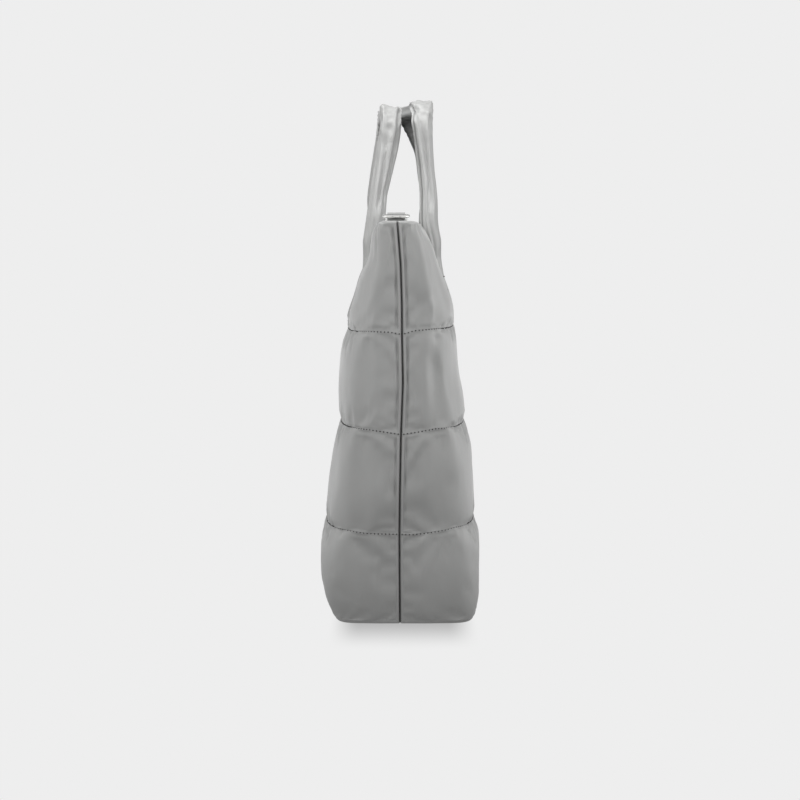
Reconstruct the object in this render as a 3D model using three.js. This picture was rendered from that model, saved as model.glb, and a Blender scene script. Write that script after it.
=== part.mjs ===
// Padded shopper bag that stands on its base. Two quilted panels are sewn edge to edge at the side seams,
// a flat base closes them below, two puffed handles are sewn flat on the outside of the panels, and a
// D-ring lies at each end of the mouth, in a cloth tab that is sewn inside it.
// Millimetres, +Z up. +X points to the right side seam and -Y to the front. The origin lies on the floor
// under the middle of the base.
import * as THREE from "three";

const FRONT = -1;
const BACK = 1;
const RIGHT = 1;
const LEFT = -1;

// Clearance between pieces that are sewn or laid together
const GAP = 0.35;

// One row for each line that is sewn round the body, from the base seam up to the top edge. corner is the
// power of the rounded section: 2 is an ellipse and more is boxier. wall is the cloth left at the line, and
// sway is how far the stuffed body leans to the back there.
const SEAMS = [
  { z: 0.6, halfDepth: 66, halfWidth: 141, corner: 4.6, wall: 4, sway: 0 },
  { z: 86, halfDepth: 70, halfWidth: 150, corner: 3.8, wall: 4, sway: 0 },
  { z: 179.5, halfDepth: 57.5, halfWidth: 163, corner: 3.4, wall: 4, sway: 1.5 },
  { z: 271.5, halfDepth: 49.5, halfWidth: 177, corner: 3.2, wall: 4, sway: 0.5 },
  { z: 370, halfDepth: 18.5, halfWidth: 189, corner: 5, wall: 9.5, sway: -2.4 },
];

// One row for each padded tier between two lines. The puffs are how far the filling swells past the line
// that joins its two seams, and lift is over 1 where the fullest place is above the middle.
const TIERS = [
  { front: 8, back: 8, width: 5, inside: 5, frontLift: 1.1, backLift: 1.1 },
  { front: 5, back: 5, width: 5, inside: 5, frontLift: 0.9, backLift: 1.1 },
  { front: 6.5, back: 5.5, width: 5, inside: 5, frontLift: 1.2, backLift: 0.65 },
  { front: 6.5, back: 8, width: 4, inside: 3, frontLift: 0.8, backLift: 0.9 },
];
const ROWS_PER_TIER = 6;

// The rolled top edge: how far each row rises above the last seam, and the share of the wall left there
const LIP = [
  { rise: 2.6, share: 0.8 },
  { rise: 4, share: 0.35 },
];

// Places of the columns from the middle of a panel to its side seam, as shares of that length. They are
// closer where a handle presses the filling and beside the seam.
const COLUMN_SHARES = [0, 0.13, 0.25, 0.32, 0.39, 0.46, 0.55, 0.65, 0.75, 0.84, 0.91, 0.96, 1];
const SEAM_GROOVE = 4;
const SECTION_DIVISIONS = 400;

// The seats that the sewn handle ends press into the top tier, one row for each of its upper rows. The
// floors are the distances of the pressed cloth from the middle plane, and thick and across are the sizes
// of the handle that lies on it.
const SEATS = [
  { row: 2, frontFloor: 38.5, backFloor: 40.5, thick: 4.6, across: 27, x: 79 },
  { row: 3, frontFloor: 30.5, backFloor: 33.5, thick: 7.8, across: 25, x: 79 },
  { row: 4, frontFloor: 22.5, backFloor: 27, thick: 12, across: 23, x: 78.5 },
  { row: 5, frontFloor: 17.8, backFloor: 22, thick: 16.4, across: 21, x: 78 },
  { row: 6, frontFloor: 15, backFloor: 18.5, thick: 16.6, across: 20.5, x: 77 },
];
const SEAT_GAP = 0.9;
const SEAT_X = 78;
const SEAT_HALF = 17;
const SEAT_FADE = 17;

// Handle stations above the seats, up to the fold. right and left are the distances of the two legs from
// the middle plane, across is the size along the panel and thick the size away from it.
const FREE_ROWS = {
  [FRONT]: [
    { x: 73, z: 400, right: 21.8, left: 24, across: 19.5, thick: 18.5 },
    { x: 69.5, z: 422, right: 16.8, left: 21.5, across: 19.5, thick: 18.5 },
    { x: 66, z: 445, right: 12.4, left: 17.5, across: 19.5, thick: 19 },
    { x: 61, z: 466, right: 10, left: 14.6, across: 20, thick: 19 },
    { x: 46, z: 478, right: 9.6, left: 13.6, across: 18, thick: 19.5 },
    { x: 18, z: 478.5, right: 10.4, left: 12.4, across: 18, thick: 18.5 },
  ],
  [BACK]: [
    { x: 73, z: 400, right: 26.4, left: 29.5, across: 19.5, thick: 16.5 },
    { x: 69.5, z: 422, right: 24.6, left: 26.5, across: 19.5, thick: 16.5 },
    { x: 66, z: 445, right: 22.4, left: 22, across: 19.5, thick: 18.5 },
    { x: 61, z: 467, right: 20.6, left: 11.8, across: 20, thick: 20 },
    { x: 46, z: 482, right: 20.2, left: 10.8, across: 18, thick: 20.5 },
    { x: 18, z: 482.5, right: 18.4, left: 13, across: 18, thick: 19.5 },
  ],
};
const HANDLE_SIDES = 12;
const STEPS_PER_STATION = 3;

// D-ring: a round wire with a straight bar on the tab's side
const WIRE_RADIUS = 1.6;
const WIRE_SIDES = 8;
const RING_STEPS = 32;
const RING_REACH = 15;
const BAR_HALF = 8.4;
const RING_CORNER = 2.4;
const RING_TILT = THREE.MathUtils.degToRad(4);
const BAR_X = 155;
const BAR_Z = 378.2;

// Tab: cloth looped round the bar, with both plies going down inside the mouth
const TAB_HALF_WIDTH = 7.2;
const TAB_CLOTH = 1.3;
const TAB_DEPTH = 34;
const TAB_ROUND_STEPS = 10;

// Base: a flat pad inside the lower edge of the panels
const BASE_THICK = 6;

const satin = () => new THREE.MeshStandardMaterial({ color: 0x9a9c9b, roughness: 0.45, metalness: 0 });
const silver = () => new THREE.MeshStandardMaterial({ color: 0xd8d8d4, roughness: 0.12, metalness: 1 });

const lerp = THREE.MathUtils.lerp;
const smoothstep = THREE.MathUtils.smoothstep;

// Half of a rounded section, from the right side seam round one face to the left side seam
class HalfSection extends THREE.Curve {
  constructor(halfWidth, halfDepth, corner, side) {
    super();
    Object.assign(this, { halfWidth, halfDepth, corner, side, arcLengthDivisions: SECTION_DIVISIONS });
  }

  getPoint(t, target = new THREE.Vector3()) {
    const angle = Math.PI * t;
    const power = 2 / this.corner;
    const x = Math.sign(Math.cos(angle)) * Math.abs(Math.cos(angle)) ** power;
    const y = Math.abs(Math.sin(angle)) ** power;
    return target.set(x * this.halfWidth, this.side * y * this.halfDepth, 0);
  }
}

// Shares of a half section's length at the panel's columns, from the right side seam to the left one
function columnPlaces() {
  const rightHalf = COLUMN_SHARES.map((share) => 0.5 - share / 2).reverse();
  const leftHalf = COLUMN_SHARES.slice(1).map((share) => 0.5 + share / 2);
  return [...rightHalf, ...leftHalf];
}

// A closed solid through rings of points. Each ring runs anticlockwise as seen from the ring after it and
// has an even count, and point i lies across the ring from the point that is as far from its end.
function loft(rings, joined = false) {
  const count = rings[0].length;
  const faces = [];
  const quad = (a, b, c, d) => faces.push(a, b, c, a, c, d);
  const spans = joined ? rings.length : rings.length - 1;
  for (let r = 0; r < spans; r++) {
    const here = r * count;
    const next = ((r + 1) % rings.length) * count;
    for (let i = 0; i < count; i++) {
      const j = (i + 1) % count;
      quad(here + i, here + j, next + j, next + i);
    }
  }
  const top = (rings.length - 1) * count;
  for (let i = 0; !joined && i < count / 2 - 1; i++) {
    const across = count - 1 - i;
    quad(i, across, across - 1, i + 1);
    quad(top + i, top + i + 1, top + across - 1, top + across);
  }
  const corners = rings.flat().flatMap((p) => p.toArray());
  const geometry = new THREE.BufferGeometry();
  geometry.setAttribute("position", new THREE.Float32BufferAttribute(corners, 3));
  geometry.setIndex(faces);
  geometry.computeVertexNormals();
  return geometry;
}

function named(name, geometry, material) {
  const mesh = new THREE.Mesh(geometry, material);
  mesh.name = name;
  return mesh;
}

// Distance from the middle plane where a handle seat has pressed the cloth in this row of the top tier
function pressed(side, row, x, depth) {
  const seat = SEATS.find((each) => each.row === row);
  if (!seat) return depth;
  const beside = Math.abs(Math.abs(x) - SEAT_X);
  const hold = 1 - smoothstep(beside, SEAT_HALF, SEAT_HALF + SEAT_FADE);
  const floor = side === FRONT ? seat.frontFloor : seat.backFloor;
  return lerp(depth, Math.min(depth, floor), hold);
}

// The outer and inner points of a panel at one row of a tier
function panelRow(side, tier, row) {
  const t = row / ROWS_PER_TIER;
  const low = SEAMS[tier];
  const high = SEAMS[tier + 1];
  const puff = TIERS[tier];
  const z = lerp(low.z, high.z, t);
  const sway = lerp(low.sway, high.sway, t);
  const nominal = (column) => lerp(low[column], high[column], t);
  const depthPuff = side === FRONT ? puff.front : puff.back;
  const lift = side === FRONT ? puff.frontLift : puff.backLift;
  const swell = Math.sqrt(Math.sin(Math.PI * t ** lift));
  const round = Math.sin(Math.PI * t);
  const outer = new HalfSection(
    nominal("halfWidth") + puff.width * swell,
    nominal("halfDepth") + depthPuff * swell,
    nominal("corner"),
    side,
  );
  const inner = new HalfSection(
    nominal("halfWidth") - nominal("wall") - puff.inside * round - SEAM_GROOVE,
    nominal("halfDepth") - nominal("wall") - puff.inside * round,
    nominal("corner"),
    side,
  );
  const places = columnPlaces();
  const atSeam = (i) => i === 0 || i === places.length - 1;
  const outside = places.map((place, i) => {
    const p = outer.getPointAt(place);
    p.x -= atSeam(i) ? Math.sign(p.x) * SEAM_GROOVE : 0;
    const depth = Math.max(Math.abs(p.y), GAP / 2) + side * sway;
    p.y = side * (tier === TIERS.length - 1 ? pressed(side, row, p.x, depth) : depth);
    return p.setZ(z);
  });
  const inside = places.map((place) => {
    const p = inner.getPointAt(place);
    p.y = side * Math.max(Math.abs(p.y), GAP / 2) + sway;
    return p.setZ(z);
  });
  return { outside, inside };
}

// A row of the rolled top edge, where the wall closes towards its own middle
function lipRow(row, lip) {
  const shrink = (points, others) =>
    points.map((p, i) => {
      const middle = p.clone().add(others[i]).multiplyScalar(0.5);
      return p.clone().lerp(middle, 1 - lip.share).setZ(p.z + lip.rise);
    });
  return { outside: shrink(row.outside, row.inside), inside: shrink(row.inside, row.outside) };
}

function quiltedPanel(side) {
  const rows = [panelRow(side, 0, 0)];
  TIERS.forEach((_, tier) => {
    for (let row = 1; row <= ROWS_PER_TIER; row++) rows.push(panelRow(side, tier, row));
  });
  const edge = rows.at(-1);
  rows.push(...LIP.map((lip) => lipRow(edge, lip)));
  return loft(
    rows.map(({ outside, inside }) => {
      const ring = [...outside, ...[...inside].reverse()];
      return side === FRONT ? ring.reverse() : ring;
    }),
  );
}

function basePad() {
  const foot = SEAMS[0];
  const share = BASE_THICK / (SEAMS[1].z - foot.z);
  const inset = foot.wall + TIERS[0].inside * Math.sin(Math.PI * share) + GAP;
  const half = (side) => {
    const width = foot.halfWidth - inset - SEAM_GROOVE;
    const section = new HalfSection(width, foot.halfDepth - inset, foot.corner, side);
    return columnPlaces().map((place) => section.getPointAt(place));
  };
  const back = half(BACK);
  const front = half(FRONT).reverse();
  const outline = new THREE.Shape([...back, ...front.slice(1, -1)].map((p) => new THREE.Vector2(p.x, p.y)));
  return new THREE.ExtrudeGeometry(outline, { depth: BASE_THICK, bevelEnabled: false });
}

// Stations of one leg, from its sewn end up to the top of the handle
function legStations(side, end) {
  const [low, high] = SEAMS.slice(-2);
  const seated = SEATS.map(({ row, frontFloor, backFloor, thick, across, x }) => {
    const y = (side === FRONT ? frontFloor : backFloor) + SEAT_GAP + thick / 2;
    const z = lerp(low.z, high.z, row / ROWS_PER_TIER);
    return { place: new THREE.Vector3(end * x, side * y, z), across, thick };
  });
  const free = FREE_ROWS[side].map((row) => {
    const y = end === RIGHT ? row.right : row.left;
    return { ...row, place: new THREE.Vector3(end * row.x, side * y, row.z) };
  });
  return [...seated, ...free];
}

function puffedHandle(side) {
  const stations = [...legStations(side, RIGHT), ...legStations(side, LEFT).reverse()];
  const route = new THREE.CatmullRomCurve3(stations.map((station) => station.place));
  const spans = stations.length - 1;
  const steps = spans * STEPS_PER_STATION;
  const rings = [];
  for (let step = 0; step <= steps; step++) {
    const span = Math.min(Math.floor(step / STEPS_PER_STATION), spans - 1);
    const share = step / STEPS_PER_STATION - span;
    const low = stations[span];
    const high = stations[span + 1];
    const halfThick = lerp(low.thick, high.thick, share) / 2;
    const halfAcross = lerp(low.across, high.across, share) / 2;
    const centre = route.getPoint(step / steps);
    const along = route.getTangent(step / steps);
    const away = new THREE.Vector3(0, side, 0).projectOnPlane(along).normalize();
    const beside = along.clone().cross(away);
    const ring = [];
    for (let i = 0; i < HANDLE_SIDES; i++) {
      const angle = (2 * Math.PI * (i + 0.5)) / HANDLE_SIDES;
      ring.push(
        centre
          .clone()
          .addScaledVector(away, halfThick * Math.cos(angle))
          .addScaledVector(beside, halfAcross * Math.sin(angle)),
      );
    }
    rings.push(ring);
  }
  return loft(rings);
}

// The ring lies in its own XY plane, with the bar on the Y axis and the round side towards +X
function dRing() {
  const side = BAR_HALF + RING_CORNER;
  const line = new THREE.Path();
  line.moveTo(0, BAR_HALF);
  line.lineTo(0, -BAR_HALF);
  line.absarc(RING_CORNER, -BAR_HALF, RING_CORNER, Math.PI, 1.5 * Math.PI);
  line.absellipse(RING_CORNER, 0, RING_REACH - RING_CORNER, side, -Math.PI / 2, Math.PI / 2);
  line.absarc(RING_CORNER, BAR_HALF, RING_CORNER, Math.PI / 2, Math.PI);
  const up = new THREE.Vector3(0, 0, 1);
  const rings = [];
  for (let step = 0; step < RING_STEPS; step++) {
    const centre = line.getPointAt(step / RING_STEPS);
    const along = line.getTangentAt(step / RING_STEPS);
    const out = new THREE.Vector3(along.y, -along.x, 0);
    const ring = [];
    for (let i = 0; i < WIRE_SIDES; i++) {
      const angle = (-2 * Math.PI * i) / WIRE_SIDES;
      ring.push(
        new THREE.Vector3(centre.x, centre.y, 0)
          .addScaledVector(out, WIRE_RADIUS * Math.cos(angle))
          .addScaledVector(up, WIRE_RADIUS * Math.sin(angle)),
      );
    }
    rings.push(ring);
  }
  return loft(rings, true);
}

// Keyhole profile in the XZ plane: the loop round the bar and the doubled stem below it
function ringTab() {
  const hole = WIRE_RADIUS + GAP;
  const loop = hole + TAB_CLOTH;
  const neck = Math.asin(TAB_CLOTH / loop);
  const outline = new THREE.Shape();
  outline.moveTo(-TAB_CLOTH, -TAB_DEPTH);
  outline.lineTo(TAB_CLOTH, -TAB_DEPTH);
  outline.absarc(0, 0, loop, -Math.PI / 2 + neck, 1.5 * Math.PI - neck);
  outline.holes.push(new THREE.Path().absarc(0, 0, hole, 0, 2 * Math.PI, true));
  const cloth = new THREE.ExtrudeGeometry(outline, {
    depth: 2 * TAB_HALF_WIDTH,
    bevelEnabled: false,
    curveSegments: TAB_ROUND_STEPS,
  });
  return cloth.rotateX(Math.PI / 2).translate(0, TAB_HALF_WIDTH, 0);
}

// A tab and its ring at one end of the mouth
function ringEnd(end, word) {
  const group = new THREE.Group();
  group.position.set(end * BAR_X, SEAMS.at(-1).sway, BAR_Z);
  group.rotation.z = end === RIGHT ? 0 : Math.PI;
  const ring = named(`d_ring_${word}`, dRing(), silver());
  ring.rotation.y = RING_TILT;
  group.add(named(`ring_tab_${word}`, ringTab(), satin()), ring);
  return group;
}

const bag = new THREE.Group();
bag.add(named("front_panel", quiltedPanel(FRONT), satin()));
bag.add(named("back_panel", quiltedPanel(BACK), satin()));
bag.add(named("base_panel", basePad(), satin()));
bag.add(named("front_handle", puffedHandle(FRONT), satin()));
bag.add(named("back_handle", puffedHandle(BACK), satin()));
bag.add(ringEnd(RIGHT, "right"), ringEnd(LEFT, "left"));

export default bag;
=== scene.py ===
"""Looks of a padded shopper bag: quilted panels, puffed handles, D-rings and stitches, in the CAD frame.

The tables hold millimetres and turn into metres as they are read. +X points to the right side seam, -Y to
the front and +Z up.
"""

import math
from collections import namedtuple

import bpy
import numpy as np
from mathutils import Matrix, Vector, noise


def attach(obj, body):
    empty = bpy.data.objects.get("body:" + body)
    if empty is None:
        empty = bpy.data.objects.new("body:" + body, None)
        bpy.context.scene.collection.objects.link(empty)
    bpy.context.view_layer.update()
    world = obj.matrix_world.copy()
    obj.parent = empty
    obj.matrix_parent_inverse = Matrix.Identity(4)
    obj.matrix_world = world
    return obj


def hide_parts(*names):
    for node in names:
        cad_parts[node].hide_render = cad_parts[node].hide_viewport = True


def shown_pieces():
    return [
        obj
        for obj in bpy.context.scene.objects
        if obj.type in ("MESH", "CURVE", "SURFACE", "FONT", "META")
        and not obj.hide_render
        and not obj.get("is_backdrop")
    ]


bl_info = {
    "name": "Padded Shopper Bag",
    "version": (1, 0, 0),
    "blender": (4, 5, 0),
    "location": "View3D > Sidebar > Shopper Bag",
    "description": "Builds the quilted skins, handles, rings and stitches of a padded shopper bag",
    "category": "Add Mesh",
}

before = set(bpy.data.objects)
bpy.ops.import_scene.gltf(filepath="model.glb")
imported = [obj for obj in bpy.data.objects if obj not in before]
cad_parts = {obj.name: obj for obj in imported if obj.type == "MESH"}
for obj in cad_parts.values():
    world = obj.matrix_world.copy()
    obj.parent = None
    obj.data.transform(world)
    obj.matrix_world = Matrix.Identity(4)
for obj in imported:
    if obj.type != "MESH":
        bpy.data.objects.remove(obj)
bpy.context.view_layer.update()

MM = 0.001
FRONT = -1
BACK = 1
RIGHT = 1
LEFT = -1
SIDE_WORDS = {FRONT: "front", BACK: "back"}
END_WORDS = {RIGHT: "right", LEFT: "left"}


def metres(kind, rows, plain=()):
    """Rows of millimetres as named tuples in metres. The plain columns aren't lengths."""
    scales = [1 if field in plain else MM for field in kind._fields]
    return [kind(*(value * scale for value, scale in zip(row, scales))) for row in rows]


# One row for each line that is sewn round the body, from the base seam up to the top edge. corner is the
# power of the rounded section, wall the cloth left at the line and sway how far the body leans to the back.
Seam = namedtuple("Seam", "z half_depth half_width corner wall sway")
SEAMS = metres(
    Seam,
    [
        (2.6, 66.5, 141, 8, 4, 0),
        (86, 70, 150, 3.8, 4, 0),
        (179.5, 57.5, 163, 3.4, 4, 1.5),
        (271.5, 49.5, 177, 3.2, 4, 0.5),
        (371.4, 18.5, 189, 5, 9.5, -2.4),
    ],
    plain=("corner",),
)
QUILT_LINES = SEAMS[1:-1]
TOP_LINE = SEAMS[-2]
TOP_EDGE = SEAMS[-1]

# One row for each padded tier between two lines: how far the filling swells to the front, the back, the
# sides and the inside. lift is over 1 where the fullest place is above the middle.
Tier = namedtuple("Tier", "front back width inside front_lift back_lift")
TIERS = metres(
    Tier,
    [
        (5.6, 5.8, 1.2, 5, 1.1, 1.1),
        (2.5, 2.9, 2.2, 5, 0.9, 1.1),
        (3.8, 3.2, 2.2, 5, 1.2, 0.65),
        (4.8, 6, 2, 3, 0.8, 0.9),
    ],
    plain=("front_lift", "back_lift"),
)

# How far each side seam wanders to the back and what share of its full depth the hollow beside it has, by
# height, and how far from the seam the cloth follows it
Wander = namedtuple("Wander", "z shift hollow")
WANDERS = metres(
    Wander,
    [
        (0, 0, 0),
        (60, -0.4, 0),
        (130, -0.7, 0.6),
        (178, -0.6, 0.6),
        (227, 1.7, 0.7),
        (269, 1.3, 0.8),
        (300, 2, 0.75),
        (335, 1.9, 0.75),
        (372, 0, 0.6),
    ],
    plain=("hollow",),
)
WANDER_REACH = 25 * MM

# How far the quilting lines climb from the side seams towards the middle of each face, at three distances
# from the seam
Climb = namedtuple("Climb", "z near middle far")
CLIMBS = {
    FRONT: metres(
        Climb,
        [
            (0, 0, 0, 0),
            (86, 0.1, 0.4, 2.2),
            (179.5, 1.8, 4, 4.2),
            (271.5, 2, 2.4, 1.6),
            (335, 0, 0, 0),
        ],
    ),
    BACK: metres(
        Climb,
        [
            (0, 0, 0, 0),
            (86, -0.5, 1.5, 4.4),
            (179.5, 1.7, 4.8, 5),
            (271.5, 3.4, 4.6, 4.6),
            (335, 0, 0, 0),
        ],
    ),
}
CLIMB_PLACES = (0, 12 * MM, 30 * MM, 55 * MM)

# Places where the filling stands fuller than the even tiers. It comes in between two distances from a side
# seam, and the lining follows it at the foot, up to between two heights.
Fullness = namedtuple("Fullness", "side z reach extra")
FULLNESS = metres(
    Fullness,
    [
        (BACK, 2, 26, 4.2),
        (BACK, 160, 26, 2),
        (BACK, 230, 24, -3),
        (BACK, 300, 26, 1.2),
        (BACK, 356, 20, 3),
        (FRONT, 2, 14, -4),
        (FRONT, 306, 18, -2),
        (FRONT, 341, 17, -5.2),
    ],
    plain=("side",),
)
FULLNESS_FADE = (8 * MM, 48 * MM)
FOOT_FOLLOW = (20 * MM, 60 * MM)

# Soft wrinkles on a panel beside its side seams, as lines between two places that are given by their
# distance from the seam and their height
Wrinkle = namedtuple("Wrinkle", "side from_seam from_z to_seam to_z width height")
WRINKLES = metres(
    Wrinkle,
    [
        (FRONT, 13, 314, 28, 287, 5, -0.9),
        (FRONT, 20, 318, 36, 292, 7, 0.9),
        (FRONT, 6, 300, 18, 282, 4, 0.5),
        (BACK, 40, 316, 16, 307, 5, 0.8),
        (BACK, 34, 306, 9, 290, 5, -0.8),
        (BACK, 26, 296, 12, 280, 5, 0.7),
        (FRONT, 44, 24, 60, 32, 4, -0.7),
        (FRONT, 8, 226, 27, 227, 0.9, -0.22),
        (FRONT, 12, 246, 26, 244, 1.2, -0.16),
        (FRONT, 14, 206, 30, 208, 1.1, 0.16),
        (BACK, 12, 246, 24, 249, 1.1, -0.18),
        (BACK, 14, 212, 30, 214, 1.3, 0.16),
    ],
    plain=("side",),
)

# Soft noise: the size of its bumps and its seed
Grain = namedtuple("Grain", "size seed")
UNEVEN_GRAIN = Grain(34 * MM, 5.3)
GATHER_GRAIN = Grain(8 * MM, 11.7)
SAG_GRAIN = Grain(62 * MM, 2.9)
SAG_FINE_GRAIN = Grain(24 * MM, 7.1)
STREAK_GRAIN = Grain(5 * MM, 3.7)
LUMP_GRAIN = Grain(31 * MM, 0)
CRUMPLE_GRAIN = Grain(np.array([9, 9, 16]) * MM, 6.1)

# Folds that run along a side seam: the distance of each from the seam, its half width, its share of the full
# height on even cloth, and by how much that share changes with the unevenness
SeamFold = namedtuple("SeamFold", "distance width even uneven")
VALLEY = SeamFold(4.5 * MM, 1.9 * MM, 1, 0.3)
RIDGE = SeamFold(22 * MM, 7 * MM, 0.8, 0.9)
DIP = SeamFold(38 * MM, 9 * MM, 0.9, -0.6)
DIP_SHARE = 0.65

# Distances from a quilting line, a side seam, the top edge and the foot over which the relief comes up. The
# gathers are drawn out along Z, and a share of the sag is finer.
SEAM_FOLD_RISE = 9 * MM
GATHER_STRETCH = np.array([1, 1, 0.22])
GATHER_REACH = 13 * MM
GATHER_RISE = 4 * MM
SAG_FINE_SHARE = 0.4
SAG_RISE = 18 * MM
SAG_FROM_SEAM = (4 * MM, 45 * MM)
LIP_FADE = 2.4 * MM
TOP_FADE = 6 * MM
FOOT_FADE = 8 * MM

# The seats that the sewn handle ends press into the top tier. row counts sixths of the tier's height, the
# floors are the distances of the pressed cloth from the middle plane, and thick and across are the sizes of
# the handle there.
SEAT_ROWS = 6
Seat = namedtuple("Seat", "row front_floor back_floor thick across x")
SEATS = metres(
    Seat,
    [
        (2, 36.5, 40.5, 4.6, 27, 79),
        (3, 28, 33.2, 7.8, 25, 79),
        (4, 22, 26.6, 12, 23, 78.5),
        (5, 17.8, 22, 16.4, 21, 78),
        (6, 15, 18.5, 16.6, 20.5, 77),
    ],
    plain=("row",),
)

# The gap between a seat and its handle end, a seat's middle and half width along the panel and its fade past
# them, and a floor that is clear of the cloth
SEAT_GAP = 0.9 * MM
SEAT_X = 78 * MM
SEAT_HALF = 17 * MM
SEAT_FADE = 17 * MM
CLEAR_FLOOR = 60 * MM

# Heights over the top quilting line where a seat starts to hold the cloth and over which its relief goes
SEAT_HOLD_START = 20 * MM
SEAT_HOLD_FADE = 12 * MM
SEAT_RELIEF_FADE = 30 * MM

# Handle stations above the seats, up to the fold. right and left are the distances of the two legs from
# the middle plane, across is the size along the panel and the thick columns the sizes away from it.
Station = namedtuple("Station", "x z right left across right_thick left_thick")
FREE_STATIONS = {
    FRONT: metres(
        Station,
        [
            (73, 400, 20.6, 24.2, 19.5, 15.6, 18.5),
            (69.5, 422, 16.4, 21.5, 19.5, 18.2, 18.5),
            (66, 445, 12.6, 17.5, 19.5, 20, 18.5),
            (61, 466, 9.3, 14.6, 20, 19.2, 18.6),
            (46, 478, 9.6, 13.6, 18, 19.5, 19),
            (18, 478.5, 10.4, 12.4, 18, 18.5, 18.5),
        ],
    ),
    BACK: metres(
        Station,
        [
            (73, 400, 27, 29.5, 19.5, 15.4, 16.5),
            (69.5, 422, 25.2, 26.8, 19.5, 15.6, 16.5),
            (66, 445, 23, 23.6, 19.5, 17.4, 17.5),
            (61, 467, 21.2, 15.6, 20, 19.2, 18.5),
            (46, 482, 20.3, 9.4, 18, 20.2, 20),
            (18, 482.5, 18.4, 11.6, 18, 19.5, 19.5),
        ],
    ),
}

# Angles round a handle go from its side away from the bag, over the outside of its fold, to the side that
# faces the other handle. A handle's own long seam lies at these angles. It is a groove with a soft roll and
# a shallow hollow on each side.
HANDLE_SEAM_ANGLES = {FRONT: math.radians(176), BACK: math.radians(142)}
SeamRoll = namedtuple("SeamRoll", "height distance width")
HANDLE_SEAM = metres(SeamRoll, [(-3.2, 0, 0.9), (1, 2.4, 1.1), (-0.7, 6, 2.2)])

# Creases and ridges that run along the legs of a handle, from one height and angle to another. Angles and
# half widths are in degrees.
Crease = namedtuple("Crease", "side low_z high_z low_angle high_angle width height")
CREASES = metres(
    Crease,
    [
        (FRONT, 395, 468, 104, 80, 10, -2.2),
        (FRONT, 380, 476, 84, 60, 12, 1.2),
        (FRONT, 385, 468, 124, 110, 11, 1.1),
        (FRONT, 400, 455, 152, 140, 9, -1.6),
        (FRONT, 366, 430, 46, 30, 11, -1.4),
        (BACK, 395, 472, 74, 98, 10, -2.1),
        (BACK, 350, 474, 52, 70, 13, 1.2),
        (BACK, 345, 462, 100, 118, 10, 1.2),
        (BACK, 345, 400, 86, 92, 9, -1.5),
    ],
    plain=("side", "low_angle", "high_angle", "width"),
)
CREASE_FADE = 14 * MM

# Fine streaks along a handle, soft lumps on it, and the heights between which its relief comes in
STREAK_STRETCH = 0.12
STREAK_HEIGHT = 0.7 * MM
LUMP_HEIGHT = 0.5 * MM
HANDLE_RELIEF_FADE = (318 * MM, 352 * MM)

# The folded top of a handle: where its pressed corner starts on the outside of a leg, how far the corner's
# edges lag behind its middle, the heights of the top at the side away from the bag and at the side of the
# other handle, how far it sags between them, and how far the first side is tucked in
Fold = namedtuple("Fold", "x z notch away toward sag tuck")
FOLDS = {
    FRONT: metres(Fold, [(69, 475, 3, 485.6, 482.4, 1, 0.6)])[0],
    BACK: metres(Fold, [(69, 478, 5, 487.8, 487.2, -0.8, 0)])[0],
}

# How much squarer and fuller a handle's section is at a fold, the span of its rise over which the fullness
# comes in, and the share that is pressed away of what stands past a flat face
FOLD_BOXINESS = 2.4
FOLD_FILL = 0.45
FOLD_FILL_RISE = (0.2, 0.9)
FOLD_PRESS = 0.95

# A fold's middle and half length, counted in stations from a handle's end
FOLD_PLACE = 8.55
FOLD_SPREAD = 0.95

# Crumples on the outside of a fold and ripples on its inside, with the shares of the way there over which
# they come up
CRUMPLE_HEIGHT = 3.4 * MM
CRUMPLE_LEVEL = 0.5
CRUMPLE_GAIN = 2
CRUMPLE_RISE = (0.1, 0.8)
RIPPLE_HEIGHT = 0.4 * MM
RIPPLE_PITCH = 8 * MM
RIPPLE_LEVEL = -0.6
RIPPLE_RISE = (0.05, 0.8)

# The closed end of a handle: shares of its last ring and how far they stand out of it
Cap = namedtuple("Cap", "share out")
HANDLE_CAP = metres(Cap, [(0, 1), (0.5, 1), (0.85, 0.7)], plain=("share",))

# D-ring and tab. The ring reaches out from the middle of its straight bar, and its tilt is its droop. The
# tab's plies meet at the neck under the bar, with the shrink of the cloth as the room between them.
WIRE_RADIUS = 1.6 * MM
RING_REACH = 15 * MM
BAR_HALF = 8.4 * MM
RING_CORNER = 2.4 * MM
RING_TILT = math.radians(4)
BAR_X = 155 * MM
BAR_Z = 378.2 * MM
TAB_HALF_WIDTH = 8 * MM
RING_Y = -3.4 * MM
TAB_CLOTH = 1.3 * MM
TAB_SHRINK = 0.2 * MM
TAB_DEPTH = 34 * MM
TAB_NECK = 7 * MM
TAB_EDGE = 0.25 * MM
TAB_EDGE_SEGMENTS = 2
TAB_EDGE_ANGLE = math.radians(60)
PIECE_GAP = 0.35 * MM

# Base pad. Its profile goes from the middle of the underside round the edge to the middle of the top, in
# shares of the outline and of the thickness.
BASE_THICK = 6 * MM
BASE_TUCK = 0.6 * MM
Rim = namedtuple("Rim", "share rise")
BASE_UNDERSIDE = [Rim(0, 0), Rim(0.5, 0), Rim(0.9, 0), Rim(0.975, 0)]
BASE_EDGE = [Rim(0.992, 0.08), Rim(1, 0.28), Rim(1, 0.7), Rim(0.99, 0.9)]
BASE_TOP = [Rim(0.97, 1), Rim(0.88, 1), Rim(0.5, 1), Rim(0, 1)]

# Panel edges: how far the lining stays off a side seam, half the gap at the seam's bottom, and how far the
# top edge and the foot bulge
SEAM_GROOVE = 4 * MM
SEAM_PINCH = 0.06 * MM
TOP_LIP_RISE = 2.1 * MM
FOOT_RISE = -2.4 * MM

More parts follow.
